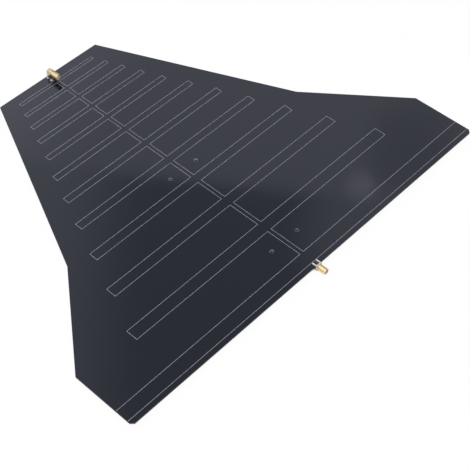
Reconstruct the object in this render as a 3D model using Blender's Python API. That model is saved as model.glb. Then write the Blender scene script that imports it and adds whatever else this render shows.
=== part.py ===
"""Flat log-periodic directional antenna: a black circuit board with twelve dipoles drawn across a
boom, a coaxial jack on the board's rear edge and a right-angle coaxial jack at its narrow front.

Sizes are in metres. +Y is the beam direction, along the boom from the wide rear edge to the narrow
front, +X is to the right and +Z is up. Every piece is placed from the board's datum: the middle of
its rear edge, on its top face.
"""
import math

import bmesh
import bpy
from mathutils import Vector

# clearances
SEAT_GAP = 0.0003
FINE_GAP = 0.0001
COAT_GAP = 0.00005

# board
BOARD_WIDTH = 0.432
BOARD_THICKNESS = 0.0016
SIDE_LENGTH = 0.0654
KINK_Y = 0.1548
KINK_MARGIN = 0.0255
FRONT_CORNER_MARGIN = 0.0151
FRONT_LAND = 0.0125
REAR_CORNER_CUT = 0.003
BOARD_EDGE_BREAK = 0.00015

# log-periodic row: each step, arm and width is the one behind it times the same ratio
ELEMENT_COUNT = 12
TAPER_RATIO = 0.8862
REAR_ELEMENT_WIDTH = 0.01346
FIRST_PITCH = 0.05016
FIRST_ARM_LENGTH = 0.1581
FRONT_GROUP_START = 7
FRONT_ARM_RATIO = 0.972
BOOM_REAR_WIDTH = 0.0042
BOOM_FRONT_WIDTH = 0.0035

# printed outline, and the foil conductors inside it
LINE_WIDTH = 0.0003
LEG_TO_LINE = 0.00022
LINE_THICKNESS = 0.00005
FOIL_THICKNESS = 0.00005
LINE_EDGE_CLEARANCE = 0.0003

# mounting holes, in two pairs beside the boom
HOLE_DIAMETER = 0.0032
HOLE_SPACING = 0.0324
HOLE_RIM_WIDTH = 0.0006
HOLE_LINING_WALL = 0.0001
REAR_PAIR_ELEMENT = 1
REAR_PAIR_SETBACK = 0.0236
FRONT_PAIR_ELEMENT = 4
FRONT_PAIR_SETBACK = 0.0187

# coaxial jacks: what both share
JACK_SQUARE = 0.00635
BARREL_RADIUS = 0.003
BARREL_LENGTH = 0.0079
BARREL_WALL = 0.0007
BARREL_CHAMFER = 0.00045
NECK_CUT = 0.00035
NECK_LENGTH = 0.0009
MOUTH_DEPTH = 0.002
MOUTH_STEP = 0.00015
CONTACT_RADIUS = 0.00064
SOCKET_RADIUS = 0.00047
SOCKET_DEPTH = 0.0024
SOCKET_SLOT = 0.0002
PIN_RADIUS = 0.0004
LEG_SIZE = 0.00085
LEG_INSET = 0.0002

# rear jack, astride the board's edge
FLANGE_THICKNESS = 0.0016
EDGE_LEG_LENGTH = 0.0044
EDGE_PIN_LENGTH = 0.0042

# front jack, standing on the board
FRONT_SETBACK = 0.0018
FRONT_AXIS_HEIGHT = 0.0066
BLOCK_EDGE_BREAK = 0.0003
LEG_PROTRUSION = 0.0014
HOLE_PLAY = 0.0002
BEAD_RADIUS = 0.0015
CAP_RIM = 0.000475
CAP_THICKNESS = 0.0008

# solder
SOLDER_SIDE = 0.00045
SOLDER_CREST = 0.00018
SOLDER_HEIGHT = 0.0007
SOLDER_END = 0.00035
JOINT_LAP = 0.0002
JOINT_HEIGHT = 0.0009
JOINT_WALL = 0.00012

ROUND_SIDES = 48
HOLE_SIDES = 32
SMALL_SIDES = 20
ARC_STEPS = 16
OVERLAP = 0.0005
CUT_PAST = 0.001
MERGE_DISTANCE = 1e-7
ALONG_BOOM = math.pi / 2


# sizes worked out from those above

LEG_SOLDER_END = EDGE_LEG_LENGTH - SEAT_GAP + FINE_GAP + SOLDER_END
REAR_ELEMENT_Y = LEG_SOLDER_END + LEG_TO_LINE + (LINE_WIDTH + REAR_ELEMENT_WIDTH) / 2


def element_centres():
    """Centre lines of the elements, from the rear one forward."""
    centres = [REAR_ELEMENT_Y]
    step = FIRST_PITCH
    for _ in range(ELEMENT_COUNT - 1):
        centres.append(centres[-1] + step)
        step *= TAPER_RATIO
    return centres


def element_width(index):
    return REAR_ELEMENT_WIDTH * TAPER_RATIO ** index


def arm_reach(index):
    """Length of one arm from the board's middle line to its tip."""
    reach = FIRST_ARM_LENGTH * TAPER_RATIO ** (index - 1)
    if index >= FRONT_GROUP_START:
        reach *= FRONT_ARM_RATIO
    return reach


CENTRES = element_centres()
LAST = ELEMENT_COUNT - 1
BOARD_LENGTH = CENTRES[LAST] + FRONT_LAND
APEX_Y = REAR_ELEMENT_Y + FIRST_PITCH / (1.0 - TAPER_RATIO)

REAR_HALF = BOARD_WIDTH / 2
KINK_HALF = FIRST_ARM_LENGTH * (APEX_Y - KINK_Y) / (APEX_Y - CENTRES[1]) + KINK_MARGIN
FRONT_HALF = arm_reach(LAST) + FRONT_CORNER_MARGIN

UNDERSIDE = -BOARD_THICKNESS
EDGE_AXIS_Z = UNDERSIDE - FINE_GAP - PIN_RADIUS
EDGE_LEG_Z = FINE_GAP + LEG_SIZE / 2
EDGE_MOUTH = FLANGE_THICKNESS + BARREL_LENGTH
LEG_SIDE = JACK_SQUARE / 2 - LEG_INSET - LEG_SIZE / 2
LEG_CORNER = LEG_SIZE / 2 * math.sqrt(2)
LEG_HOLE_RADIUS = LEG_CORNER + HOLE_PLAY
PIN_HOLE_RADIUS = PIN_RADIUS + HOLE_PLAY

NECK_RADIUS = BARREL_RADIUS - NECK_CUT
MOUTH_RADIUS = BARREL_RADIUS - BARREL_WALL
BORE_RADIUS = MOUTH_RADIUS - MOUTH_STEP
INSULATOR_RADIUS = BORE_RADIUS - FINE_GAP
INSULATOR_FACE = BARREL_LENGTH - MOUTH_DEPTH
CAP_RECESS_RADIUS = JACK_SQUARE / 2 - CAP_RIM

BLOCK_FRONT_Y = BOARD_LENGTH - FRONT_SETBACK
BLOCK_REAR_Y = BLOCK_FRONT_Y - JACK_SQUARE
BLOCK_CENTRE_Y = BLOCK_FRONT_Y - JACK_SQUARE / 2
BLOCK_BASE = SEAT_GAP - FRONT_AXIS_HEIGHT
LEG_TIP_Z = UNDERSIDE - LEG_PROTRUSION

LOWEST_Z = EDGE_AXIS_Z - JACK_SQUARE / 2
REARMOST_Y = -SEAT_GAP - EDGE_MOUTH
MIDDLE_Y = (BOARD_LENGTH + REARMOST_Y) / 2


def boom_half(y):
    """Half the boom's width, which narrows evenly from the rear edge to the front."""
    share = y / BOARD_LENGTH
    return (BOOM_REAR_WIDTH + (BOOM_FRONT_WIDTH - BOOM_REAR_WIDTH) * share) / 2


# materials

def material(name, colour, roughness, metallic=0.0):
    made = bpy.data.materials.new(name)
    made.use_nodes = True
    shader = made.node_tree.nodes["Principled BSDF"]
    shader.inputs["Base Color"].default_value = (*colour, 1.0)
    shader.inputs["Roughness"].default_value = roughness
    shader.inputs["Metallic"].default_value = metallic
    made.diffuse_color = (*colour, 1.0)
    return made


def make_materials():
    return {
        "mask": material("black_solder_mask", (0.014, 0.015, 0.020), 0.22),
        "ink": material("grey_outline_ink", (0.42, 0.43, 0.47), 0.55),
        "tin": material("tinned_copper", (0.66, 0.66, 0.68), 0.30, 1.0),
        "gold": material("gold_plated_brass", (0.86, 0.63, 0.30), 0.26, 1.0),
        "solder": material("solder", (0.58, 0.58, 0.60), 0.36, 1.0),
        "insulator": material("white_insulator", (0.86, 0.86, 0.84), 0.45),
    }


# modelling helpers

def add_object(name, bm, finish, origin=(0.0, 0.0, 0.0), turn_x=0.0):
    """Turns a bmesh into an object that hangs on the board's datum."""
    bmesh.ops.remove_doubles(bm, verts=bm.verts, dist=MERGE_DISTANCE)
    bmesh.ops.recalc_face_normals(bm, faces=bm.faces)
    mesh = bpy.data.meshes.new(name)
    bm.to_mesh(mesh)
    bm.free()
    made = bpy.data.objects.new(name, mesh)
    bpy.context.collection.objects.link(made)
    made.parent = bpy.data.objects["board_datum"]
    made.location = Vector(origin)
    made.rotation_euler = (turn_x, 0.0, 0.0)
    if finish is not None:
        mesh.materials.append(finish)
    return made


def shade(made, angle=35.0):
    made.data.shade_smooth()
    made.data.set_sharp_from_angle(angle=math.radians(angle))
    return made


def prism(points, low, high):
    """A closed outline in X and Y, raised from one height to another."""
    bm = bmesh.new()
    base = bm.faces.new([bm.verts.new((x, y, low)) for x, y in points])
    raised = bmesh.ops.extrude_face_region(bm, geom=[base])["geom"]
    tops = [part for part in raised if isinstance(part, bmesh.types.BMVert)]
    bmesh.ops.translate(bm, vec=(0.0, 0.0, high - low), verts=tops)
    return bm


def box(width, depth, low, high):
    """A block centred on the Z axis."""
    x = width / 2
    y = depth / 2
    return prism([(-x, -y), (x, -y), (x, y), (-x, y)], low, high)


def turned(profile, sides, closed=False):
    """Spins a profile of (radius, height) points about the Z axis."""
    bm = bmesh.new()
    ring = [bm.verts.new((radius, 0.0, height)) for radius, height in profile]
    edges = [bm.edges.new(pair) for pair in zip(ring, ring[1:])]
    if closed:
        edges.append(bm.edges.new((ring[-1], ring[0])))
    bmesh.ops.spin(bm, geom=ring + edges, cent=(0, 0, 0), axis=(0, 0, 1),
                   angle=math.tau, steps=sides, use_merge=True)
    return bm


def guide(made):
    """Marks an object that only shapes others."""
    made.hide_render = True
    made.display_type = "WIRE"
    return made


def combine(target, operation, other):
    change = target.modifiers.new(f"{operation.lower()} {other.name}", "BOOLEAN")
    change.operation = operation
    change.solver = "EXACT"
    change.object = other


# outline of the antenna, walked along one side of the boom

def edge_path(side, start, stop, arms, grow):
    """Points along one edge of the boom, going out round each arm and back.

    side is -1 or 1, start and stop are the path's ends along Y, arms is the indices of the
    elements that reach out on this side, and grow moves the whole path outward.
    """
    def boom_point(y):
        return side * (boom_half(y) + grow), y

    points = [boom_point(start)]
    for index in arms:
        rear = CENTRES[index] - element_width(index) / 2 - grow
        front = CENTRES[index] + element_width(index) / 2 + grow
        tip = side * (arm_reach(index) + grow)
        points += [boom_point(rear), (tip, rear), (tip, front), boom_point(front)]
    points.append(boom_point(stop))
    return points


def ribbon(name, inner, outer, finish):
    """A thin raised line between two matching paths on the board's top face."""
    bm = bmesh.new()
    low = COAT_GAP
    high = COAT_GAP + LINE_THICKNESS
    rails = []
    for path, z in ((inner, low), (outer, low), (outer, high), (inner, high)):
        rails.append([bm.verts.new((x, y, z)) for x, y in path])
    for rail, other in zip(rails, rails[1:] + rails[:1]):
        for step in range(len(rail) - 1):
            bm.faces.new((rail[step], rail[step + 1], other[step + 1], other[step]))
    bm.faces.new([rail[0] for rail in rails])
    bm.faces.new([rail[-1] for rail in reversed(rails)])
    return add_object(name, bm, finish)


def outline_side(name, side, finish):
    """The line round the boom and every arm on one side, from the board's edge to the front jack."""
    half_line = LINE_WIDTH / 2
    line_y = CENTRES[0] + element_width(0) / 2
    board_side = side * (REAR_HALF - LINE_EDGE_CLEARANCE)
    stop = max(BLOCK_REAR_Y - FINE_GAP, CENTRES[LAST] + element_width(LAST) / 2 + LINE_WIDTH)
    paths = []
    for grow in (-half_line, half_line):
        start = line_y + grow
        path = edge_path(side, start, stop, range(1, ELEMENT_COUNT), grow)
        paths.append([(board_side, start)] + path)
    ribbon(name, paths[0], paths[1], finish)


def rear_outline(name, finish):
    """The straight line along the back of the rear element, from side to side."""
    y = CENTRES[0] - element_width(0) / 2
    reach = REAR_HALF - LINE_EDGE_CLEARANCE
    half_line = LINE_WIDTH / 2
    ribbon(name, [(-reach, y - half_line), (reach, y - half_line)],
           [(-reach, y + half_line), (reach, y + half_line)], finish)


def conductor(name, first_side, stop, low, high, finish):
    """Foil of one face: the rear element, the boom, and arms on alternating sides."""
    inset = -(LINE_WIDTH / 2 + FINE_GAP)
    rear = CENTRES[0] - element_width(0) / 2 - inset
    front = CENTRES[0] + element_width(0) / 2 + inset
    halves = []
    for side in (-1, 1):
        first = 1 if side == first_side else 2
        path = edge_path(side, front, stop, range(first, ELEMENT_COUNT, 2), inset)
        reach = side * (REAR_HALF - LINE_EDGE_CLEARANCE)
        halves.append([(reach, rear), (reach, front)] + path)
    add_object(name, prism(halves[0] + halves[1][::-1], low, high), finish)


# board

def board_outline():
    cut = REAR_CORNER_CUT
    right = [(REAR_HALF - cut, 0.0), (REAR_HALF, cut), (REAR_HALF, SIDE_LENGTH),
             (KINK_HALF, KINK_Y), (FRONT_HALF, BOARD_LENGTH)]
    return right + [(-x, y) for x, y in reversed(right)]


def mount_hole_places():
    places = []
    for index, setback in ((REAR_PAIR_ELEMENT, REAR_PAIR_SETBACK),
                           (FRONT_PAIR_ELEMENT, FRONT_PAIR_SETBACK)):
        for side in (-1, 1):
            places.append((side * HOLE_SPACING / 2, CENTRES[index] - setback))
    return places


def front_leg_places():
    return [(x * LEG_SIDE, BLOCK_CENTRE_Y + y * LEG_SIDE) for y in (-1, 1) for x in (-1, 1)]


def hole_cutter(name, place, radius):
    """A round cutter through the board."""
    profile = [(0.0, CUT_PAST), (radius, CUT_PAST),
               (radius, UNDERSIDE - CUT_PAST), (0.0, UNDERSIDE - CUT_PAST)]
    return guide(add_object(name, turned(profile, HOLE_SIDES), None, (*place, 0.0)))


def circuit_board(finish):
    board = add_object("circuit_board", prism(board_outline(), UNDERSIDE, 0.0), finish)
    edge = board.modifiers.new("edge break", "BEVEL")
    edge.width = BOARD_EDGE_BREAK
    edge.segments = 1
    edge.limit_method = "ANGLE"
    edge.angle_limit = math.radians(60)
    drilled = HOLE_DIAMETER / 2 + HOLE_LINING_WALL + FINE_GAP
    for number, place in enumerate(mount_hole_places(), 1):
        combine(board, "DIFFERENCE", hole_cutter(f"mount_hole_cutter_{number}", place, drilled))
    for number, place in enumerate(front_leg_places(), 1):
        combine(board, "DIFFERENCE", hole_cutter(f"leg_hole_cutter_{number}", place, LEG_HOLE_RADIUS))
    centre = (0.0, BLOCK_CENTRE_Y)
    combine(board, "DIFFERENCE", hole_cutter("pin_hole_cutter", centre, PIN_HOLE_RADIUS))


def hole_linings(finish):
    """Tinned copper through each mounting hole, turned over into a rim on both faces."""
    inner = HOLE_DIAMETER / 2
    outer = inner + HOLE_LINING_WALL
    rim = inner + HOLE_RIM_WIDTH
    top = COAT_GAP + LINE_THICKNESS
    bottom = UNDERSIDE - top
    profile = [(inner, top), (rim, top), (rim, COAT_GAP), (outer, COAT_GAP),
               (outer, UNDERSIDE - COAT_GAP), (rim, UNDERSIDE - COAT_GAP), (rim, bottom),
               (inner, bottom)]
    for number, place in enumerate(mount_hole_places(), 1):
        bm = turned(profile, HOLE_SIDES, closed=True)
        shade(add_object(f"mount_hole_lining_{number}", bm, finish, (*place, 0.0)))


# jacks: each is made with its mating axis on Z and its mouth at the top, then laid along the boom

def barrel(name, place):
    """Turned outside of a jack's barrel, from inside its square end to the mouth."""
    profile = [(0.0, -OVERLAP), (NECK_RADIUS, -OVERLAP), (NECK_RADIUS, NECK_LENGTH),
               (BARREL_RADIUS, NECK_LENGTH + BARREL_CHAMFER),
               (BARREL_RADIUS, BARREL_LENGTH - BARREL_CHAMFER),
               (BARREL_RADIUS - BARREL_CHAMFER, BARREL_LENGTH), (0.0, BARREL_LENGTH)]
    return guide(add_object(name, turned(profile, ROUND_SIDES), None, place, ALONG_BOOM))


def bore_cutter(name, place, floor):
    """The mouth's recess and the bore behind it, down to a floor below the barrel."""
    past = BARREL_LENGTH + CUT_PAST
    profile = [(0.0, past), (MOUTH_RADIUS, past), (MOUTH_RADIUS, INSULATOR_FACE),
               (BORE_RADIUS, INSULATOR_FACE), (BORE_RADIUS, floor), (0.0, floor)]
    return guide(add_object(name, turned(profile, ROUND_SIDES), None, place, ALONG_BOOM))


def insulator(name, place, floor, finish):
    """White sleeve in the bore, level with the floor of the mouth's recess."""
    hole = CONTACT_RADIUS + FINE_GAP
    profile = [(hole, floor), (hole, INSULATOR_FACE),
               (INSULATOR_RADIUS, INSULATOR_FACE), (INSULATOR_RADIUS, floor)]
    bm = turned(profile, ROUND_SIDES, closed=True)
    shade(add_object(name, bm, finish, place, ALONG_BOOM))


def contact(name, place, shoulder, tail, finish):
    """Centre contact: a split socket at the mouth, a rod, and a thinner tail if it has one."""
    face = INSULATOR_FACE
    lip = (CONTACT_RADIUS + SOCKET_RADIUS) / 2
    profile = [(0.0, face - SOCKET_DEPTH), (SOCKET_RADIUS, face - SOCKET_DEPTH),
               (SOCKET_RADIUS, face), (lip, face), (CONTACT_RADIUS, face - (lip - SOCKET_RADIUS)),
               (CONTACT_RADIUS, shoulder)]
    if tail < shoulder:
        profile += [(PIN_RADIUS, shoulder), (PIN_RADIUS, tail)]
    profile.append((0.0, profile[-1][1]))
    made = add_object(name, turned(profile, SMALL_SIDES), finish, place, ALONG_BOOM)
    slot_low = face - SOCKET_DEPTH + SOCKET_SLOT
    wide = 2 * CONTACT_RADIUS + CUT_PAST
    for label, width, depth in (("wide", wide, SOCKET_SLOT), ("tall", SOCKET_SLOT, wide)):
        bm = box(width, depth, slot_low, face + CUT_PAST)
        combine(made, "DIFFERENCE",
                guide(add_object(f"{name}_{label}_slot_cutter", bm, None, place, ALONG_BOOM)))
    return shade(made)


def leg(name, place, low, high, turn_x=0.0):
    return guide(add_object(name, box(LEG_SIZE, LEG_SIZE, low, high), None, place, turn_x))


def rear_jack(materials):
    """Jack astride the rear edge: two legs lie on the top face and its pin under the board."""
    flange_face = (0.0, -SEAT_GAP, EDGE_AXIS_Z)
    barrel_base = (0.0, -SEAT_GAP - FLANGE_THICKNESS, EDGE_AXIS_Z)
    side = JACK_SQUARE
    flange = box(side, side, 0.0, FLANGE_THICKNESS)
    body = add_object("rear_jack_body", flange, materials["gold"], flange_face, ALONG_BOOM)
    combine(body, "UNION", barrel("rear_barrel", barrel_base))
    leg_rise = EDGE_LEG_Z - EDGE_AXIS_Z
    for number, (x, z) in enumerate(((-1, 1), (1, 1), (-1, -1), (1, -1)), 1):
        place = (x * LEG_SIDE, -SEAT_GAP, EDGE_AXIS_Z + z * leg_rise)
        combine(body, "UNION",
                leg(f"rear_leg_{number}", place, -EDGE_LEG_LENGTH, OVERLAP, ALONG_BOOM))
    through = -FLANGE_THICKNESS - CUT_PAST
    combine(body, "DIFFERENCE", bore_cutter("rear_bore_cutter", barrel_base, through))
    shade(body)
    insulator("rear_jack_insulator", barrel_base, -FLANGE_THICKNESS, materials["insulator"])
    contact("rear_jack_contact", barrel_base, -FLANGE_THICKNESS,
            -FLANGE_THICKNESS - EDGE_PIN_LENGTH, materials["gold"])


def edge_solder(name, place, metal_half, metal_length, up, finish):
    """Solder on both sides and round the end of a leg or pin that lies along the board.

    up is 1 for solder on the top face and -1 for solder under the board.
    """
    slot = metal_half + FINE_GAP
    base = slot + SOLDER_SIDE
    crest = slot + SOLDER_CREST
    slot_end = metal_length + FINE_GAP
    rear = FINE_GAP
    foot = slot_end + SOLDER_END
    crest_end = slot_end + SOLDER_CREST
    bm = bmesh.new()
    z = (up * COAT_GAP, up * (COAT_GAP + SOLDER_HEIGHT))
    low = [bm.verts.new((x, y, z[0]))
           for x, y in ((-base, rear), (base, rear), (base, foot), (-base, foot))]
    high = [bm.verts.new((x, y, z[1]))
            for x, y in ((-crest, rear), (crest, rear), (crest, crest_end), (-crest, crest_end))]
    bm.faces.new(low)
    bm.faces.new(high)
    for step in range(4):
        after = (step + 1) % 4
        bm.faces.new((low[step], low[after], high[after], high[step]))
    made = add_object(name, bm, finish, place)
    channel = prism([(-slot, -CUT_PAST), (slot, -CUT_PAST), (slot, slot_end), (-slot, slot_end)],
                    -SOLDER_HEIGHT - CUT_PAST, SOLDER_HEIGHT + CUT_PAST)
    combine(made, "DIFFERENCE", guide(add_object(f"{name}_slot_cutter", channel, None, place)))


def rear_solder(finish):
    leg_end = EDGE_LEG_LENGTH - SEAT_GAP
    pin_end = EDGE_PIN_LENGTH - SEAT_GAP
    edge_solder("rear_leg_solder_left", (-LEG_SIDE, 0.0, 0.0), LEG_SIZE / 2, leg_end, 1, finish)
    edge_solder("rear_leg_solder_right", (LEG_SIDE, 0.0, 0.0), LEG_SIZE / 2, leg_end, 1, finish)
    edge_solder("rear_pin_solder", (0.0, 0.0, UNDERSIDE), PIN_RADIUS, pin_end, -1, finish)


def block_profile():
    """Round-topped side of the front jack's block, about its mating axis."""
    half = JACK_SQUARE / 2
    cut = BLOCK_EDGE_BREAK
    points = [(-half, BLOCK_BASE + cut), (-half + cut, BLOCK_BASE),
              (half - cut, BLOCK_BASE), (half, BLOCK_BASE + cut)]
    for step in range(ARC_STEPS + 1):
        angle = math.pi * step / ARC_STEPS
        points.append((half * math.cos(angle), half * math.sin(angle)))
    return points


def front_jack(materials):
    """Right-angle jack on the board's front end, its mouth facing back along the boom."""
    base = (0.0, BLOCK_REAR_Y, FRONT_AXIS_HEIGHT)
    centre = (0.0, BLOCK_CENTRE_Y, 0.0)
    block = prism(block_profile(), -JACK_SQUARE, 0.0)
    body = add_object("front_jack_body", block, materials["gold"], base, ALONG_BOOM)
    combine(body, "UNION", barrel("front_barrel", base))
    for number, place in enumerate(front_leg_places(), 1):
        post = leg(f"front_leg_{number}", (*place, 0.0), LEG_TIP_Z, SEAT_GAP + OVERLAP)
        combine(body, "UNION", post)
    cap_floor = -JACK_SQUARE + CAP_THICKNESS
    combine(body, "DIFFERENCE", bore_cutter("front_bore_cutter", base, cap_floor - CUT_PAST))
    past = -JACK_SQUARE - CUT_PAST
    recess = [(0.0, cap_floor), (CAP_RECESS_RADIUS, cap_floor), (CAP_RECESS_RADIUS, past),
              (0.0, past)]
    recess_cutter = add_object("cap_recess_cutter", turned(recess, ROUND_SIDES), None,
                               base, ALONG_BOOM)
    combine(body, "DIFFERENCE", guide(recess_cutter))
    bead_bore = BEAD_RADIUS + FINE_GAP
    well = [(0.0, FRONT_AXIS_HEIGHT), (bead_bore, FRONT_AXIS_HEIGHT),
            (bead_bore, -CUT_PAST), (0.0, -CUT_PAST)]
    combine(body, "DIFFERENCE",
            guide(add_object("bead_well_cutter", turned(well, ROUND_SIDES), None, centre)))
    shade(body)

    insulator_floor = -JACK_SQUARE / 2 + BEAD_RADIUS + SEAT_GAP
    insulator("front_jack_insulator", base, insulator_floor, materials["insulator"])
    bead_top = FRONT_AXIS_HEIGHT - CONTACT_RADIUS - SEAT_GAP
    hole = PIN_RADIUS + FINE_GAP
    bead = [(hole, SEAT_GAP), (hole, bead_top), (BEAD_RADIUS, bead_top), (BEAD_RADIUS, SEAT_GAP)]
    shade(add_object("front_jack_bead", turned(bead, SMALL_SIDES, closed=True),
                     materials["insulator"], centre))
    rod_end = -JACK_SQUARE / 2 - CONTACT_RADIUS
    rod = contact("front_jack_contact", base, rod_end, rod_end, materials["gold"])
    pin = [(0.0, FRONT_AXIS_HEIGHT), (PIN_RADIUS, FRONT_AXIS_HEIGHT),
           (PIN_RADIUS, LEG_TIP_Z), (0.0, LEG_TIP_Z)]
    combine(rod, "UNION",
            guide(add_object("front_pin", turned(pin, SMALL_SIDES), None, centre)))

    cap_radius = CAP_RECESS_RADIUS - FINE_GAP
    cap = [(0.0, cap_floor - FINE_GAP), (cap_radius, cap_floor - FINE_GAP),
           (cap_radius, -JACK_SQUARE), (0.0, -JACK_SQUARE)]
    shade(add_object("front_jack_cap", turned(cap, ROUND_SIDES), materials["gold"],
                     base, ALONG_BOOM))


def front_solder(finish):
    """A cone of solder under the board round each leg and the pin of the front jack."""
    top = UNDERSIDE - FOIL_THICKNESS - 2 * COAT_GAP
    bottom = top - JOINT_HEIGHT
    joints = [(f"front_leg_solder_{number}", place, LEG_CORNER, LEG_HOLE_RADIUS)
              for number, place in enumerate(front_leg_places(), 1)]
    joints.append(("front_pin_solder", (0.0, BLOCK_CENTRE_Y), PIN_RADIUS, PIN_HOLE_RADIUS))
    for name, place, metal, drilled in joints:
        hole = metal + FINE_GAP
        profile = [(hole, top), (hole, bottom), (hole + JOINT_WALL, bottom),
                   (drilled + JOINT_LAP, top)]
        bm = turned(profile, SMALL_SIDES, closed=True)
        shade(add_object(name, bm, finish, (*place, 0.0)))


def conductors(finish):
    """Foil on both faces: the two halves of every dipole lie on opposite faces."""
    top = COAT_GAP + FOIL_THICKNESS
    stop = max(BLOCK_REAR_Y - FINE_GAP, CENTRES[LAST] + element_width(LAST) / 2)
    pin_stop = BLOCK_CENTRE_Y - PIN_HOLE_RADIUS - JOINT_LAP - FINE_GAP
    conductor("top_conductor", -1, stop, COAT_GAP, top, finish)
    conductor("bottom_conductor", 1, pin_stop, UNDERSIDE - top, UNDERSIDE - COAT_GAP, finish)


def build():
    for leftover in list(bpy.data.objects):
        bpy.data.objects.remove(leftover, do_unlink=True)
    datum = bpy.data.objects.new("board_datum", None)
    bpy.context.collection.objects.link(datum)
    datum.location = Vector((0.0, -MIDDLE_Y, -LOWEST_Z))
    materials = make_materials()
    circuit_board(materials["mask"])
    conductors(materials["mask"])
    outline_side("outline_left", -1, materials["ink"])
    outline_side("outline_right", 1, materials["ink"])
    rear_outline("outline_rear", materials["ink"])
    hole_linings(materials["tin"])
    rear_jack(materials)
    rear_solder(materials["solder"])
    front_jack(materials)
    front_solder(materials["solder"])


build()
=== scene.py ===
"""Looks of the flat log-periodic directional antenna: camera, light and floor, procedural materials
for the board, its print and its jacks, and threaded jacks and wetted solder that stand for the
plainer solids of the frame.

Sizes are in metres in the frame's axes, and colours are linear.
"""

import math

import bmesh
import bpy
from mathutils import Matrix, Quaternion, Vector, noise


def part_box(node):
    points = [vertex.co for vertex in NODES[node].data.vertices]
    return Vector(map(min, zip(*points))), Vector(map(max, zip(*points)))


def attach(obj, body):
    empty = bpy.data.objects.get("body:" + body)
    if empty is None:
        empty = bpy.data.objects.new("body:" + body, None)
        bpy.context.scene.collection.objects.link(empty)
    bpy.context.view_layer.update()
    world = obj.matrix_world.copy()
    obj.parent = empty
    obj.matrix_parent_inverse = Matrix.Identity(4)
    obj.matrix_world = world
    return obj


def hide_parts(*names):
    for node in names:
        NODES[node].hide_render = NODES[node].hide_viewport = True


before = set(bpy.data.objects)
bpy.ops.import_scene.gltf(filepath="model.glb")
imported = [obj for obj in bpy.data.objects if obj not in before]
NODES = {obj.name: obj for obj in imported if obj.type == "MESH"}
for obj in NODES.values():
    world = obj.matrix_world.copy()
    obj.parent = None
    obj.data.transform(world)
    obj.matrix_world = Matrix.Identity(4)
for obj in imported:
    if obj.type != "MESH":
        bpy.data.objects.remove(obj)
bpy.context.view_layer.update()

MM = 0.001
ALONG_BOOM = Matrix.Rotation(math.pi / 2, 4, "X")
MERGE_DISTANCE = 1e-7

# jacks
COLUMNS = 72
THREAD_PITCH = 0.7056 * MM
THREAD_CREST = 3.15 * MM
THREAD_ROOT = 2.76 * MM
NECK_RADIUS = 2.65 * MM
NECK_LENGTH = 0.9 * MM
RIM_FACE_RADIUS = 2.66 * MM
MOUTH_RADIUS = 2.3 * MM
BORE_RADIUS = 2.15 * MM
MOUTH_DEPTH = 2.0 * MM
MOUTH_BREAK = 0.08 * MM
BARREL_LENGTH = 7.9 * MM
FLANGE_THICKNESS = 1.6 * MM
LEG_SIZE = 0.85 * MM
LEG_INSET = 0.2 * MM
LEG_BREAK = 0.1 * MM
SEAT_GAP = 0.1 * MM
BODY_BREAK = 0.2 * MM
LEG_TIP = 0.18 * MM
BLOCK_BREAK = 0.3 * MM
BLOCK_LIFT = 0.3 * MM
CAP_RECESS_RADIUS = 2.7 * MM
CAP_RECESS_DEPTH = 0.9 * MM
CAP_RECESS_BREAK = 0.06 * MM
REAR_PIN_HALF = 0.36 * MM
FRONT_PIN_RADIUS = 0.4 * MM

# how far pieces of one metal body run into each other, and the fineness of outlines and edges
NECK_LAP = 0.05 * MM
BARREL_LAP = 0.2 * MM
REAR_LEG_LAP = 0.3 * MM
FRONT_LEG_LAP = 0.2 * MM
OUTLINE_STEP = 0.45 * MM
CORNER_STEPS = 5
BLOCK_TOP_STEPS = 30
EDGE_STEPS = 4

# solder: points round a joint, steps up it, and its share of the plainer solid's spread and height
JOINT_SIDES = 28
CONE_STEPS = 8
MENISCUS_STEPS = 6
MENISCUS_SPREAD = 0.35
MENISCUS_HEIGHT = 0.85
MENISCUS_SINK = 0.04 * MM

# the solder mask: its black, and the colour and strength of its mirror-like top layer
MASK_BLACK = (0.0050, 0.0064, 0.0108)
MASK_SHEEN = (0.775, 0.795, 1.0, 1.0)
MASK_SHEEN_LEVEL = 0.52

# radii in millimetres between which the mask laps over a hole's rim, and the tin's height up the block
RIM_LAP = (1.74, 1.84)
TIN_CREEP = 1.5

# stage: how much of the floor's white is its own, how open to the sky it has to be to glow, and
# the plain level of the surroundings
FLOOR_GLOW = 0.95
FLOOR_SKY_REACH = 0.020
FLOOR_SKY_SHARES = (0.14, 0.25)
FLOOR_DROP = 0.1 * MM
STUDIO_LEVEL = 0.78

# parts of the room that glossy surfaces mirror: azimuth and elevation of their middle in degrees,
# the cosines between which they fade in, and their level; the ceiling's side holds the ceiling
WALL_LEVEL = 1.05
WINDOW = (21.3, 31.9, 0.949, 0.992, 1.85)
GREY_PATCH = (57.0, 45.3, 0.9987, 1.0, 0.80)
BRIGHT_SPOT = (53.8, 47.4, 0.99988, 0.99999, 1.6)
GREY_CEILING = (116.4, 26.0, 0.385, 0.4635, 0.53)
CEILING_PATCH = (56.0, 49.6, 0.9962, 0.9997, 0.95)
CEILING_BEHIND = (-124.2, 42.8, 0.22, 0.45, 0.75)
CEILING_SIDE = (-124.2, 42.8, 0.010, 0.018)
DARK_PANEL = (92.0, 8.0, 0.72, 0.88, 0.30)

# camera: place and aim from the datum, lens in millimetres and roll in degrees
CAMERA_PLACE = Vector((-0.512395, -0.411593, 0.814426))
CAMERA_AIM = Vector((-0.024210, 0.073913, 0.0))
CAMERA_LENS = 94.47
CAMERA_ROLL = -1.572

# one turn of the thread's form: share of the pitch, share of the depth
THREAD_FORM = ((0.00, 0.0), (0.14, 0.0), (0.20, 0.10), (0.40, 0.88), (0.46, 1.0),
               (0.60, 1.0), (0.66, 0.88), (0.86, 0.10))

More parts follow.
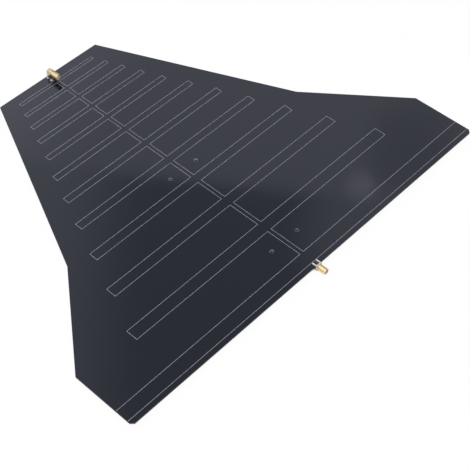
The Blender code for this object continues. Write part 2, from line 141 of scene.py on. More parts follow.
# side view of the solder at the front jack's corners: millimetres out from the leg, and up
FOOT_JOINT_PROFILE = ((1.62, 0.0), (1.50, 0.10), (1.30, 0.36), (1.10, 0.72), (0.92, 1.10),
                      (0.76, 1.38), (0.50, 1.52), (0.0, 1.56))

BOARD_LOW, BOARD_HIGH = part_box("circuit_board")
DATUM = Vector((0.0, BOARD_LOW.y, BOARD_HIGH.z))

# brown films on the mask: middle, reach in millimetres and colour. The rear one is flux that the
# soldering left; the front one is a painted reflection of the gold barrel, a reddish brown in the board
# under the front jack
REAR_FLUX = DATUM + Vector((0.0, 1.7 * MM, 0.0))
FRONT_PAINTED_REFLECTION = Vector((0.0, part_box("front_jack_body")[1].y - 6.0 * MM, DATUM.z))
FLUX_AND_REFLECTION_FILMS = ((REAR_FLUX, 4.2, (0.050, 0.033, 0.030)),
              (FRONT_PAINTED_REFLECTION, 6.5, (0.095, 0.048, 0.037)))


# nodes of a material

class Finish:
    """A procedural material around one Principled shader, patterned in millimetres."""

    def __init__(self, name):
        self.material = bpy.data.materials.new(name)
        self.material.use_nodes = True
        self.tree = self.material.node_tree
        self.shader = self.tree.nodes["Principled BSDF"]
        coordinates = self.tree.nodes.new("ShaderNodeTexCoord")
        self.place = self.scaled(coordinates.outputs["Object"], (1000.0, 1000.0, 1000.0))
        self.normal = coordinates.outputs["Normal"]

    def put(self, socket, value):
        if isinstance(value, bpy.types.NodeSocket):
            self.tree.links.new(value, socket)
        else:
            socket.default_value = value

    def set(self, **values):
        for name, value in values.items():
            self.put(self.shader.inputs[name.replace("_", " ")], value)
        return self

    def scaled(self, vector, factors):
        node = self.tree.nodes.new("ShaderNodeVectorMath")
        node.operation = "MULTIPLY"
        self.put(node.inputs[0], vector)
        self.put(node.inputs[1], factors)
        return node.outputs["Vector"]

    def axis(self, vector, name):
        node = self.tree.nodes.new("ShaderNodeSeparateXYZ")
        self.put(node.inputs["Vector"], vector)
        return node.outputs[name]

    def math(self, operation, first, second=0.0):
        node = self.tree.nodes.new("ShaderNodeMath")
        node.operation = operation
        self.put(node.inputs[0], first)
        self.put(node.inputs[1], second)
        return node.outputs["Value"]

    def noise(self, size, detail=2.0, stretch=(1.0, 1.0, 1.0)):
        """Soft noise from 0 to 1 whose grains are about size millimetres across."""
        node = self.tree.nodes.new("ShaderNodeTexNoise")
        self.put(node.inputs["Vector"], self.scaled(self.place, stretch))
        node.inputs["Scale"].default_value = 1.0 / size
        node.inputs["Detail"].default_value = detail
        return node.outputs["Fac"]

    def cells(self, size):
        """Distance to the nearest of many scattered points, about size millimetres apart."""
        node = self.tree.nodes.new("ShaderNodeTexVoronoi")
        self.put(node.inputs["Vector"], self.place)
        node.inputs["Scale"].default_value = 1.0 / size
        return node.outputs["Distance"]

    def distance(self, centre):
        """Distance in millimetres to a point given in metres."""
        node = self.tree.nodes.new("ShaderNodeVectorMath")
        node.operation = "DISTANCE"
        self.put(node.inputs[0], self.place)
        self.put(node.inputs[1], centre / MM)
        return node.outputs["Value"]

    def waves(self, direction, length):
        """Even bands across one axis, length millimetres from crest to crest."""
        node = self.tree.nodes.new("ShaderNodeTexWave")
        node.bands_direction = direction
        self.put(node.inputs["Vector"], self.place)
        node.inputs["Scale"].default_value = math.tau / 20.0 / length
        node.inputs["Distortion"].default_value = 0.4
        return node.outputs["Fac"]

    def remap(self, value, low, high, new_low=0.0, new_high=1.0):
        node = self.tree.nodes.new("ShaderNodeMapRange")
        node.interpolation_type = "SMOOTHSTEP"
        self.put(node.inputs["Value"], value)
        for name, number in (("From Min", low), ("From Max", high),
                             ("To Min", new_low), ("To Max", new_high)):
            node.inputs[name].default_value = number
        return node.outputs["Result"]

    def mix(self, share, first, second):
        node = self.tree.nodes.new("ShaderNodeMix")
        node.data_type = "RGBA"
        self.put(node.inputs["Factor"], share)
        for socket, colour in ((node.inputs[6], first), (node.inputs[7], second)):
            self.put(socket, (*colour, 1.0) if isinstance(colour, tuple) else colour)
        return node.outputs[2]

    def bump(self, height, depth, strength=1.0, under=None):
        """Relief of depth millimetres, laid over an earlier relief if one is given."""
        node = self.tree.nodes.new("ShaderNodeBump")
        node.inputs["Strength"].default_value = strength
        node.inputs["Distance"].default_value = depth * MM
        self.put(node.inputs["Height"], height)
        if under is not None:
            self.put(node.inputs["Normal"], under)
        return node.outputs["Normal"]


def solder_mask():
    """Glossy black mask with soft waviness and fine dust, and sawn laminate on the board's edges."""
    finish = Finish("solder_mask")
    cloud = finish.noise(26.0, 3.0)
    tone = finish.mix(cloud, (0.0045, 0.0059, 0.0100), (0.0053, 0.0069, 0.0118))
    specks = finish.remap(finish.cells(7.0), 0.018, 0.032, 1.0, 0.0)
    rare = finish.remap(finish.noise(19.0, 1.0), 0.60, 0.66)
    dust = finish.math("MULTIPLY", specks, rare)
    face = finish.mix(finish.math("MULTIPLY", dust, 0.30), tone, (0.34, 0.34, 0.36))
    # flux near the rear jack, and a painted reddish reflection of the front jack's gold barrel in the
    # board under it
    for middle, reach, film in FLUX_AND_REFLECTION_FILMS:
        film_share = finish.remap(finish.distance(middle), 0.4 * reach, reach, 0.6, 0.0)
        face = finish.mix(film_share, face, film)
    ply = finish.noise(0.16, 2.0, (0.06, 0.06, 1.0))
    resin = finish.mix(ply, (0.020, 0.021, 0.020), (0.052, 0.050, 0.042))
    upright = finish.math("ABSOLUTE", finish.axis(finish.normal, "Z"))
    flat = finish.remap(upright, 0.30, 0.62)
    finish.set(Base_Color=finish.mix(flat, resin, face))
    finish.set(Specular_Tint=MASK_SHEEN, Specular_IOR_Level=MASK_SHEEN_LEVEL)
    smear = finish.remap(finish.noise(34.0, 4.0), 0.35, 0.75, 0.038, 0.065)
    rough = finish.math("ADD", smear, finish.math("MULTIPLY", dust, 0.35))
    edge_rough = finish.remap(flat, 0.0, 1.0, 0.45, 0.0)
    finish.set(Roughness=finish.math("ADD", rough, edge_rough))
    swell = finish.bump(finish.noise(5.5, 2.0), 0.004, 0.5)
    weave = finish.math("ADD", finish.waves("X", 0.9), finish.waves("Y", 1.1))
    finish.set(Normal=finish.bump(weave, 0.0007, 0.5, swell))
    return finish.material


def masked_foil():
    """The same mask over copper, a little warmer and smoother than over bare laminate."""
    finish = Finish("masked_foil")
    tone = finish.mix(finish.noise(22.0, 3.0), (0.0047, 0.0060, 0.0100), (0.0055, 0.0070, 0.0116))
    finish.set(Base_Color=tone, Specular_Tint=MASK_SHEEN, Specular_IOR_Level=MASK_SHEEN_LEVEL)
    finish.set(Roughness=finish.remap(finish.noise(30.0, 4.0), 0.35, 0.75, 0.034, 0.058))
    swell = finish.bump(finish.noise(4.5, 2.0), 0.004, 0.5)
    finish.set(Normal=finish.bump(finish.noise(0.35, 2.0), 0.0006, 0.4, swell))
    return finish.material


def outline_ink():
    """Satin grey screen print, slightly uneven in cover."""
    finish = Finish("outline_ink")
    cover = finish.remap(finish.noise(1.6, 3.0), 0.30, 0.62)
    finish.set(Base_Color=finish.mix(cover, (0.27, 0.28, 0.35), (0.36, 0.37, 0.455)))
    finish.set(Roughness=finish.remap(finish.noise(0.5), 0.3, 0.7, 0.42, 0.60))
    finish.set(Normal=finish.bump(finish.noise(0.12, 3.0), 0.004, 0.5))
    return finish.material


def tinned_copper(node):
    """Levelled tin in one hole, rough where it rounds the mouth, with a painted highlight: the upper
    wall is painted pale, fading back to the tin's grey further down; the mask laps over its rim.
    """
    finish = Finish(f"{node}_tin")
    low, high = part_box(node)
    middle = (low + high) / 2
    middle.z = high.z
    dull = finish.remap(finish.noise(1.4, 3.0), 0.35, 0.70)
    tin = finish.mix(dull, (0.42, 0.45, 0.53), (0.30, 0.32, 0.38))
    bare = finish.remap(finish.distance(middle), *RIM_LAP, 1.0, 0.0)
    height = finish.axis(finish.place, "Z")
    face = DATUM.z / MM
    wall = finish.remap(height, face - 0.2, face - 0.1, 1.0, 0.0)
    bare = finish.math("MAXIMUM", bare, wall)
    # painted highlight: the upper wall of the hole is painted a pale bluish white, fading back to the
    # tin's grey further down the hole
    painted_highlight_band = finish.math("MULTIPLY", wall, finish.remap(height, face - 0.95, face - 0.55))
    tin = finish.mix(painted_highlight_band, tin, (0.84, 0.88, 0.98))
    finish.set(Base_Color=finish.mix(bare, MASK_BLACK, tin), Metallic=bare)
    rough = finish.remap(finish.noise(0.8, 2.0), 0.3, 0.7, 0.22, 0.42)
    rough = finish.math("MULTIPLY", rough, finish.remap(bare, 0.0, 1.0, 0.2, 1.0))
    finish.set(Roughness=finish.math("ADD", rough, finish.remap(painted_highlight_band, 0.0, 1.0, 0.0, 0.40)))
    finish.set(Normal=finish.bump(finish.noise(0.7, 2.0), 0.006, 0.5), Specular_Tint=MASK_SHEEN)
    return finish.material


def gold_plate(name, fresh, worn, groove_axis, tin_line=None):
    """Bright gold over turned brass: tool marks, fine scratches, and paler rubbed places.

    Below tin_line, a height in millimetres, dull tin has crept up over the gold.
    """
    finish = Finish(name)
    rubbed = finish.remap(finish.noise(1.9, 4.0), 0.42, 0.72)
    tone = finish.mix(rubbed, fresh, worn)
    streaks = finish.noise(0.30, 3.0, (1.0, 0.15, 1.0))
    rough = finish.remap(streaks, 0.25, 0.75, 0.24, 0.38)
    finish.set(Metallic=1.0)
    if tin_line is not None:
        height = finish.math("ADD", finish.axis(finish.place, "Z"), finish.noise(1.2, 2.0))
        tin = finish.remap(height, tin_line, tin_line + 0.9, 1.0, 0.0)
        tone = finish.mix(tin, tone, (0.60, 0.57, 0.53))
        rough = finish.math("ADD", rough, finish.math("MULTIPLY", tin, 0.20))
        finish.set(Metallic=finish.remap(tin, 0.0, 1.0, 1.0, 0.35))
    finish.set(Base_Color=tone, Roughness=rough)
    marks = finish.bump(finish.waves(groove_axis, 0.11), 0.0016, 0.5)
    finish.set(Normal=finish.bump(finish.noise(0.45, 3.0), 0.003, 0.4, marks))
    return finish.material


def tinned_brass():
    """Plated square metal: a flange behind the board's edge, and legs that took up bright tin."""
    finish = Finish("tinned_brass")
    tinned = finish.remap(finish.noise(1.3, 3.0), 0.40, 0.62)
    flange = finish.mix(tinned, (0.63, 0.55, 0.49), (0.68, 0.63, 0.60))
    legs = finish.mix(tinned, (0.82, 0.78, 0.78), (0.88, 0.87, 0.90))
    edge = DATUM.y / MM
    past_edge = finish.remap(finish.axis(finish.place, "Y"), edge - 0.3, edge + 0.1)
    finish.set(Base_Color=finish.mix(past_edge, flange, legs), Metallic=1.0)
    finish.set(Roughness=finish.remap(finish.noise(0.6, 3.0), 0.3, 0.7, 0.42, 0.56))
    finish.set(Normal=finish.bump(finish.noise(0.35, 3.0), 0.006, 0.5))
    return finish.material


def solder():
    """Smooth bright solder with slow ripples, grainier where it cooled last."""
    finish = Finish("solder")
    grain = finish.remap(finish.noise(0.9, 4.0), 0.45, 0.70)
    finish.set(Base_Color=finish.mix(grain, (0.66, 0.65, 0.66), (0.54, 0.53, 0.53)), Metallic=1.0)
    finish.set(Roughness=finish.remap(grain, 0.0, 1.0, 0.42, 0.58))
    ripple = finish.bump(finish.noise(0.55, 2.0), 0.010, 0.5)
    finish.set(Normal=finish.bump(finish.noise(0.08, 2.0), 0.002, 0.5, ripple))
    return finish.material


def insulator():
    """Waxy white plastic, faintly uneven in tone and surface."""
    finish = Finish("insulator")
    finish.set(Base_Color=finish.mix(finish.noise(1.2, 3.0), (0.80, 0.79, 0.76), (0.88, 0.88, 0.86)))
    finish.set(Subsurface_Weight=0.12, Subsurface_Scale=0.6 * MM)
    finish.set(Roughness=finish.remap(finish.noise(0.4), 0.3, 0.7, 0.38, 0.52))
    finish.set(Normal=finish.bump(finish.noise(0.20, 2.0), 0.004, 0.4))
    return finish.material


# shapes

def skin(bm, rings, closed=True):
    """Joins rings of points, each as many as the last, with faces."""
    made = [[bm.verts.new(point) for point in ring] for ring in rings]
    count = len(made[0])
    steps = count if closed else count - 1
    for lower, upper in zip(made, made[1:]):
        for index in range(steps):
            after = (index + 1) % count
            bm.faces.new((lower[index], lower[after], upper[after], upper[index]))
    return made


def circle(radius, height, sides=COLUMNS):
    turns = [math.tau * index / sides for index in range(sides)]
    return [(radius * math.cos(turn), radius * math.sin(turn), height) for turn in turns]


def add_piece(name, bm, finish, place, sharp=32.0):
    """Makes a piece of the antenna from a bmesh whose own axis is put at place."""
    bmesh.ops.remove_doubles(bm, verts=bm.verts, dist=MERGE_DISTANCE)
    bmesh.ops.recalc_face_normals(bm, faces=bm.faces)
    bm.transform(place)
    mesh = bpy.data.meshes.new(name)
    bm.to_mesh(mesh)
    bm.free()
    mesh.materials.append(finish)
    mesh.shade_smooth()
    mesh.set_sharp_from_angle(angle=math.radians(sharp))
    made = bpy.data.objects.new(name, mesh)
    bpy.context.scene.collection.objects.link(made)
    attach(made, "root")
    return made


def thread(bm, low, high):
    """A true helical thread about Z whose ends are turned down to the root at 45 degrees."""
    turns = math.ceil((high - low) / THREAD_PITCH) + 1
    steps = len(THREAD_FORM)
    depth = THREAD_CREST - THREAD_ROOT
    grid = []
    for column in range(COLUMNS):
        angle = math.tau * column / COLUMNS
        lift = THREAD_PITCH * (column / COLUMNS - 1.0)
        line = []
        for row in range((turns + 1) * steps + 1):
            along, rise = THREAD_FORM[row % steps]
            height = low + lift + THREAD_PITCH * (row // steps + along)
            height = min(max(height, low), high)
            radius = THREAD_ROOT + min(depth * rise, height - low, high - height)
            line.append(bm.verts.new((radius * math.cos(angle), radius * math.sin(angle), height)))
        grid.append(line)
    for column in range(COLUMNS):
        last = column == COLUMNS - 1
        near = grid[column]
        far = grid[0][steps:] if last else grid[column + 1]
        for row in range(turns * steps):
            bm.faces.new((near[row], far[row], far[row + 1], near[row + 1]))


def barrel(name, base, finish, bore_floor):
    """Threaded barrel: neck, thread, rim and the stepped bore behind the mouth."""
    bm = bmesh.new()
    thread_low = NECK_LENGTH
    thread_high = BARREL_LENGTH - (THREAD_ROOT - RIM_FACE_RADIUS)
    skin(bm, [circle(NECK_RADIUS, -BARREL_LAP), circle(NECK_RADIUS, thread_low),
              circle(THREAD_ROOT, thread_low)])
    thread(bm, thread_low, thread_high)
    face = BARREL_LENGTH
    skin(bm, [circle(THREAD_ROOT, thread_high), circle(RIM_FACE_RADIUS, face),
              circle(MOUTH_RADIUS + MOUTH_BREAK, face), circle(MOUTH_RADIUS, face - MOUTH_BREAK),
              circle(MOUTH_RADIUS, face - MOUTH_DEPTH), circle(BORE_RADIUS, face - MOUTH_DEPTH),
              circle(BORE_RADIUS, bore_floor)])
    return add_piece(name, bm, finish, Matrix.Translation(base) @ ALONG_BOOM)


def offset_ring(outline, inward, height):
    """The outline moved inward along its own normals and put at a height."""
    ring = []
    count = len(outline)
    for index, (x, y) in enumerate(outline):
        before = Vector(outline[index - 1])
        after = Vector(outline[(index + 1) % count])
        along = (after - before).normalized()
        ring.append((x - along.y * inward, y + along.x * inward, height))
    return ring


def hole_ring(outline, radius, height):
    """A circle with one point on the same ray as each point of the outline."""
    ring = []
    for x, y in outline:
        reach = math.hypot(x, y)
        ring.append((radius * x / reach, radius * y / reach, height))
    return ring


def rounded_edge(outline, height, out, size):
    """Rings of a quarter-round edge, from a flat end face at height to the full outline.

    out is 1 where the flat face looks along +Z and -1 where it looks along -Z.
    """
    rings = []
    for step in range(EDGE_STEPS + 1):
        turn = math.pi / 2 * step / EDGE_STEPS
        inward = size * (1.0 - math.sin(turn))
        rings.append(offset_ring(outline, inward, height - out * size * (1.0 - math.cos(turn))))
    return rings


def arc(centre, radius, start, stop, steps):
    points = []
    for step in range(steps + 1):
        turn = start + (stop - start) * step / steps
        points.append((centre[0] + radius * math.cos(turn), centre[1] + radius * math.sin(turn)))
    return points


def subdivided(points, longest):
    """The closed outline with extra points, so that no step along it is longer than longest."""
    result = []
    for first, second in zip(points, points[1:] + points[:1]):
        gap = math.hypot(second[0] - first[0], second[1] - first[1])
        pieces = max(1, math.ceil(gap / longest))
        for step in range(pieces):
            share = step / pieces
            result.append((first[0] + (second[0] - first[0]) * share,
                           first[1] + (second[1] - first[1]) * share))
    return result


def square_outline(half, corner):
    """A square with rounded corners, anticlockwise."""
    points = []
    inner = half - corner
    quarter = math.pi / 2
    for number, (x, y) in enumerate(((1, 1), (-1, 1), (-1, -1), (1, -1))):
        start = quarter * number
        points += arc((x * inner, y * inner), corner, start, start + quarter, CORNER_STEPS)
    return subdivided(points, OUTLINE_STEP)


def block_outline(half, floor, corner):
    """A square block's end with a half-round top, about the jack's axis.

    The plane is seen from the mouth: x to the side and y up, with floor the height of the base.
    """
    low = 1.5 * math.pi
    points = arc((0.0, 0.0), half, 0.0, math.pi, BLOCK_TOP_STEPS)
    points += arc((-half + corner, floor + corner), corner, math.pi, low, CORNER_STEPS)
    points += arc((half - corner, floor + corner), corner, low, math.tau, CORNER_STEPS)
    return subdivided(points, OUTLINE_STEP)


def post(bm, centre, low, high, size):
    """A square post with softened edges and a tapered tip at its low end."""
    half = size / 2
    outline = square_outline(half, LEG_BREAK)
    rings = [offset_ring(outline, half * 0.35, low),
             offset_ring(outline, half * 0.12, low + LEG_TIP * 0.3),
             offset_ring(outline, 0.0, low + LEG_TIP),
             offset_ring(outline, 0.0, high)]
    moved = [[(x + centre[0], y + centre[1], z) for x, y, z in ring] for ring in rings]
    made = skin(bm, moved)
    bm.faces.new(made[0])
    bm.faces.new(made[-1])


# jacks

def rear_jack():
    low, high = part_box("rear_jack_body")
    axis_height = (low.z + high.z) / 2
    half = (high.x - low.x) / 2
    barrel_base = Vector((0.0, low.y + BARREL_LENGTH, axis_height))
    back = -FLANGE_THICKNESS

    bm = bmesh.new()
    outline = square_outline(half, BODY_BREAK)
    rings = [hole_ring(outline, BORE_RADIUS, 0.0), hole_ring(outline, BORE_RADIUS, back)]
    rings += rounded_edge(outline, back, -1, BODY_BREAK)
    rings += rounded_edge(outline, 0.0, 1, BODY_BREAK)[::-1]
    rings.append(hole_ring(outline, NECK_RADIUS - NECK_LAP, 0.0))
    skin(bm, rings)
    side = half - LEG_INSET - LEG_SIZE / 2
    leg_low = barrel_base.y - high.y
    rise = BOARD_HIGH.z + SEAT_GAP + LEG_SIZE / 2 - axis_height
    for x in (-side, side):
        for y in (-rise, rise):
            post(bm, (x, y), leg_low, back + REAR_LEG_LAP, LEG_SIZE)
    place = Matrix.Translation(barrel_base) @ ALONG_BOOM
    flange = add_piece("rear_jack_flange", bm, FINISHES["tinned_brass"], place)
    threaded = barrel("rear_jack_barrel", barrel_base, FINISHES["gold"], back)
    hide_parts("rear_jack_body")
    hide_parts("rear_jack_body")


def front_jack():
    low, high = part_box("front_jack_body")
    half = (high.x - low.x) / 2
    axis_height = high.z - half
    barrel_base = Vector((0.0, low.y + BARREL_LENGTH, axis_height))
    back = barrel_base.y - high.y
    floor = DATUM.z + BLOCK_LIFT - axis_height

    bm = bmesh.new()
    outline = block_outline(half, floor, BLOCK_BREAK)
    rings = [hole_ring(outline, CAP_RECESS_RADIUS, back + CAP_RECESS_DEPTH),
             hole_ring(outline, CAP_RECESS_RADIUS, back + CAP_RECESS_BREAK),
             hole_ring(outline, CAP_RECESS_RADIUS + CAP_RECESS_BREAK, back)]
    rings += rounded_edge(outline, back, -1, BLOCK_BREAK)
    rings += rounded_edge(outline, 0.0, 1, BLOCK_BREAK)[::-1]
    rings.append(hole_ring(outline, NECK_RADIUS - NECK_LAP, 0.0))
    skin(bm, rings)
    place = Matrix.Translation(barrel_base) @ ALONG_BOOM
    # the block wears the darker, painted-shade copy of the gold plate
    block = add_piece("front_jack_block", bm, FINISHES["shaded_block_gold"], place)

    legs = bmesh.new()
    side = half - LEG_INSET - LEG_SIZE / 2
    middle = (barrel_base.y + high.y) / 2
    for x in (-side, side):
        for y in (-side, side):
            post(legs, (x, middle + y), low.z, axis_height + floor + FRONT_LEG_LAP, LEG_SIZE)
    posts = add_piece("front_jack_legs", legs, FINISHES["tinned_brass"],
                      Matrix.Identity(4))
    threaded = barrel("front_jack_barrel", barrel_base, FINISHES["gold"], back / 2)
    for piece in (block, posts, threaded):
        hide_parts("front_jack_body")


# solder

def uneven(point, seed):
    """A slow change between 0.8 and 1 along a joint."""
    return 0.9 + 0.1 * noise.noise(Vector(point) * 900.0 + Vector((seed, 0.0, 0.0)))


def meniscus(bm, path, side, nose, height, up, seed):
    """Solder that climbs from the board to the metal along a path of (point, outward) pairs.

    It reaches side past the metal across Y and nose past it along Y.
    """
    rings = []
    for step in range(MENISCUS_STEPS + 1):
        turn = math.pi / 2 * step / MENISCUS_STEPS
        ring = []
        for (x, y), (out_x, out_y) in path:
            swell = uneven((x, y, 0.0), seed)
            reach = swell * (1.0 - math.sin(turn))
            rise = height * swell * (1.0 - math.cos(turn))
            ring.append((x + out_x * reach * side, y + out_y * reach * nose, up * rise))
        rings.append(ring)
    skin(bm, rings, closed=False)


def leg_path(half, start, stop):
    """Round a leg that lies along Y, from its left side past its end to its right side."""
    path = []
    steps = 14
    corner = 5
    for step in range(steps + 1):
        path.append(((-half, start + (stop - start) * step / steps), (-1.0, 0.0)))
    for x, first in ((-half, math.pi), (half, math.pi / 2)):
        for step in range(corner + 1):
            turn = first - math.pi / 2 * step / corner
            path.append(((x, stop), (math.cos(turn), math.sin(turn))))
    for step in range(steps + 1):
        path.append(((half, stop - (stop - start) * step / steps), (1.0, 0.0)))
    return path


def edge_joint(node, half, stop, up, seed):
    """Solder along a leg or pin that lies on a face of the board: up is 1 on the top and -1 below."""
    low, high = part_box(node)
    middle = (low.x + high.x) / 2
    side = ((high.x - low.x) / 2 - half) * MENISCUS_SPREAD
    bm = bmesh.new()
    start = low.y
    path = leg_path(half, 0.0, stop - start)
    meniscus(bm, path, side, high.y - stop, (high.z - low.z) * MENISCUS_HEIGHT, up, seed)
    board = low.z if up > 0 else high.z
    place = Matrix.Translation((middle, start, board - up * MENISCUS_SINK))
    made = add_piece(f"{node}_fillet", bm, FINISHES["solder"], place, 180.0)
    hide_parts(node)


def hole_joint(node, metal, seed):
    """A concave cone of solder under the board round a leg or pin."""
    low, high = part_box(node)
    middle = (low + high) / 2
    reach = (high.x - low.x) / 2
    tall = high.z - low.z
    bm = bmesh.new()
    rings = []
    for step in range(CONE_STEPS + 1):
        turn = math.pi / 2 * step / CONE_STEPS
        ring = []
        for x, y, _ in circle(1.0, 0.0, JOINT_SIDES):
            swell = uneven((x * MM, y * MM, 0.0), seed)
            radius = metal + (reach - metal) * swell * (1.0 - math.sin(turn))
            ring.append((radius * x, radius * y, -tall * swell * (1.0 - math.cos(turn))))
        rings.append(ring)
    skin(bm, rings)
    place = Matrix.Translation((middle.x, middle.y, high.z))
    made = add_piece(f"{node}_cone", bm, FINISHES["solder"], place, 180.0)
    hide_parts(node)


def foot_joint(name, place, seed):
    """Solder that came up through a plated hole and climbed the block's corner over a leg."""
    bm = bmesh.new()
    rings = []
    for reach, rise in FOOT_JOINT_PROFILE:
        ring = []
        for x, y, _ in circle(1.0, 0.0, JOINT_SIDES):
            swell = uneven((x * MM, y * MM, 0.0), seed)
            ring.append((reach * swell * x * MM, reach * swell * y * MM, rise * swell * MM))
        rings.append(ring)
    skin(bm, rings)
    add_piece(name, bm, FINISHES["solder"], Matrix.Translation(place), 180.0)


def joints():
    leg_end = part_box("rear_jack_body")[1].y
    edge_joint("rear_leg_solder_left", LEG_SIZE / 2, leg_end, up=1, seed=1.7)
    edge_joint("rear_leg_solder_right", LEG_SIZE / 2, leg_end, up=1, seed=8.3)
    pin_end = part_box("rear_jack_contact")[1].y
    edge_joint("rear_pin_solder", REAR_PIN_HALF, pin_end, up=-1, seed=4.1)
    for number in range(1, 5):
        hole_joint(f"front_leg_solder_{number}", LEG_SIZE / 2, seed=number * 3.1)
        low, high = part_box(f"front_leg_solder_{number}")
        leg = (low + high) / 2
        leg.z = DATUM.z
        foot_joint(f"front_foot_joint_{number}", leg, seed=number * 5.3)
    hole_joint("front_pin_solder", FRONT_PIN_RADIUS, seed=17.9)


# stage

def pale_floor():
    """Floor whose own white meets the backdrop's, with the object's shadow left on it."""
    bm = bmesh.new()
    reach = 40.0
    steps = 20
    for row in range(steps + 1):
        for column in range(steps + 1):
            bm.verts.new((reach * (column / steps - 0.5), reach * (row / steps - 0.5), 0.0))
    bm.verts.ensure_lookup_table()
    for row in range(steps):
        for column in range(steps):
            corner = row * (steps + 1) + column
            bm.faces.new([bm.verts[corner], bm.verts[corner + 1],
                          bm.verts[corner + steps + 2], bm.verts[corner + steps + 1]])
    mesh = bpy.data.meshes.new("floor")
    bm.to_mesh(mesh)
    bm.free()
    floor = bpy.data.objects.new("floor", mesh)
    floor.location.z = -FLOOR_DROP
    bpy.context.scene.collection.objects.link(floor)

    finish = Finish("floor_paper")
    tree = finish.tree
    finish.set(Base_Color=finish.mix(finish.noise(40.0, 3.0), (0.86, 0.86, 0.86), (0.89, 0.89, 0.89)))
    finish.set(Roughness=0.9)
    finish.set(Normal=finish.bump(finish.noise(0.9, 3.0), 0.01, 0.3))
    glow = tree.nodes.new("ShaderNodeEmission")
    rays = tree.nodes.new("ShaderNodeLightPath")
    seen = finish.math("MAXIMUM", rays.outputs["Is Camera Ray"], rays.outputs["Is Glossy Ray"])
    seen = finish.math("MAXIMUM", seen, rays.outputs["Is Transmission Ray"])
    open_sky = tree.nodes.new("ShaderNodeAmbientOcclusion")
    open_sky.inputs["Distance"].default_value = FLOOR_SKY_REACH
    open_sky.samples = 32
    lit = finish.remap(open_sky.outputs["AO"], *FLOOR_SKY_SHARES, 0.0, FLOOR_GLOW)
    blend = tree.nodes.new("ShaderNodeMixShader")
    finish.put(blend.inputs["Fac"], finish.math("MULTIPLY", seen, lit))
    finish.put(blend.inputs[1], finish.shader.outputs["BSDF"])
    finish.put(blend.inputs[2], glow.outputs["Emission"])
    finish.put(tree.nodes["Material Output"].inputs["Surface"], blend.outputs["Shader"])
    mesh.materials.append(finish.material)


def toward(azimuth, elevation):
    """Unit direction: azimuth is measured from +Y towards +X, in degrees."""
    turn = math.radians(azimuth)
    climb = math.radians(elevation)
    return (math.sin(turn) * math.cos(climb), math.cos(turn) * math.cos(climb), math.sin(climb))


def studio():
    """A plain even world, in which glossy surfaces mirror a bright wall and a greyer ceiling."""
    world = bpy.data.worlds.new("studio")
    bpy.context.scene.world = world
    world.use_nodes = True
    nodes = world.node_tree.nodes
    links = world.node_tree.links
    background = nodes["Background"]
    direction = nodes.new("ShaderNodeTexCoord").outputs["Generated"]
    rays = nodes.new("ShaderNodeLightPath")

    def beyond(azimuth, elevation, near, far):
        """Rises from 0 to 1 as a ray's cosine to this direction goes from near to far."""
        dot = nodes.new("ShaderNodeVectorMath")
        dot.operation = "DOT_PRODUCT"
        links.new(direction, dot.inputs[0])
        dot.inputs[1].default_value = toward(azimuth, elevation)
        fade = nodes.new("ShaderNodeMapRange")
        fade.interpolation_type = "SMOOTHSTEP"
        links.new(dot.outputs["Value"], fade.inputs["Value"])
        fade.inputs["From Min"].default_value = near
        fade.inputs["From Max"].default_value = far
        return fade.outputs["Result"]

    def choose(flag, without, within):
        node = nodes.new("ShaderNodeMix")
        node.data_type = "FLOAT"
        links.new(flag, node.inputs["Factor"])
        for socket, value in ((node.inputs["A"], without), (node.inputs["B"], within)):
            if isinstance(value, float):
                socket.default_value = value
            else:
                links.new(value, socket)
        return node.outputs["Result"]

    def with_part(under, azimuth, elevation, near, far, level):
        return choose(beyond(azimuth, elevation, near, far), under, level)

    wall = with_part(WALL_LEVEL, *WINDOW)
    wall = with_part(wall, *GREY_PATCH)
    wall = with_part(wall, *BRIGHT_SPOT)
    ceiling = with_part(WALL_LEVEL, *GREY_CEILING)
    ceiling = with_part(ceiling, *CEILING_PATCH)
    ceiling = with_part(ceiling, *CEILING_BEHIND)
    mirrored = with_part(wall, *CEILING_SIDE, ceiling)
    mirrored = with_part(mirrored, *DARK_PANEL)
    level = choose(rays.outputs["Is Glossy Ray"], STUDIO_LEVEL, mirrored)
    level = choose(rays.outputs["Is Transmission Ray"], level, 1.0)
    level = choose(rays.outputs["Is Camera Ray"], level, 1.0)
    links.new(level, background.inputs["Strength"])
    background.inputs["Color"].default_value = (1.0, 1.0, 1.0, 1.0)


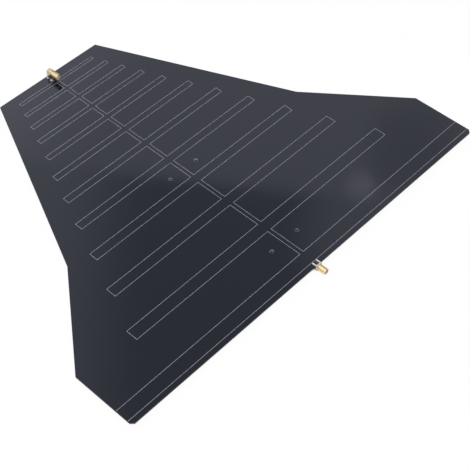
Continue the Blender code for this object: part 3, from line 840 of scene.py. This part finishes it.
def soft_lamp(name, azimuth, elevation, distance, size, power):
    data = bpy.data.lights.new(name, "AREA")
    data.shape = "RECTANGLE"
    data.size = size[0]
    data.size_y = size[1]
    data.energy = power
    lamp = bpy.data.objects.new(name, data)
    away = Vector(toward(azimuth, elevation))
    lamp.location = away * distance
    lamp.rotation_mode = "QUATERNION"
    lamp.rotation_quaternion = away.to_track_quat("Z", "Y")
    bpy.context.scene.collection.objects.link(lamp)


def camera():
    data = bpy.data.cameras.new("camera")
    data.lens = CAMERA_LENS
    data.sensor_width = 36.0
    data.clip_start = 0.01
    data.clip_end = 50.0
    made = bpy.data.objects.new("camera", data)
    made.location = DATUM + CAMERA_PLACE
    look = (DATUM + CAMERA_AIM - made.location).to_track_quat("-Z", "Y")
    made.rotation_mode = "QUATERNION"
    made.rotation_quaternion = look @ Quaternion((0.0, 0.0, 1.0), math.radians(CAMERA_ROLL))
    bpy.context.scene.collection.objects.link(made)
    bpy.context.scene.camera = made


HOLE_LININGS = tuple(f"mount_hole_lining_{number}" for number in range(1, 5))

FINISHES = {
    "mask": solder_mask(),
    "foil": masked_foil(),
    "ink": outline_ink(),
    "gold": gold_plate("gold_plate", (0.84, 0.69, 0.42), (0.87, 0.77, 0.55), "Y"),
    # painted shade: the block's gold is a darker copy of the barrel's gold plate
    "shaded_block_gold": gold_plate("block_gold_plate", (0.56, 0.44, 0.27), (0.59, 0.51, 0.36), "Z",
                             DATUM.z / MM + TIN_CREEP),
    "tinned_brass": tinned_brass(),
    "solder": solder(),
    "insulator": insulator(),
} | {node: tinned_copper(node) for node in HOLE_LININGS}

CARRIED = {
    "mask": ("circuit_board",),
    "foil": ("top_conductor", "bottom_conductor"),
    "ink": ("outline_left", "outline_right", "outline_rear"),
    "gold": ("rear_jack_contact", "front_jack_contact", "front_jack_cap"),
    "insulator": ("rear_jack_insulator", "front_jack_insulator", "front_jack_bead"),
} | {node: (node,) for node in HOLE_LININGS}


def dress_carried_nodes():
    for finish, names in CARRIED.items():
        for name in names:
            materials = NODES[name].data.materials
            for index in range(len(materials)):
                materials[index] = FINISHES[finish]


dress_carried_nodes()
rear_jack()
front_jack()
joints()
pale_floor()
studio()
soft_lamp("key_lamp", azimuth=-75.0, elevation=66.0, distance=1.6, size=(2.2, 1.8), power=14.0)
camera()
bpy.context.scene.view_settings.view_transform = "Standard"
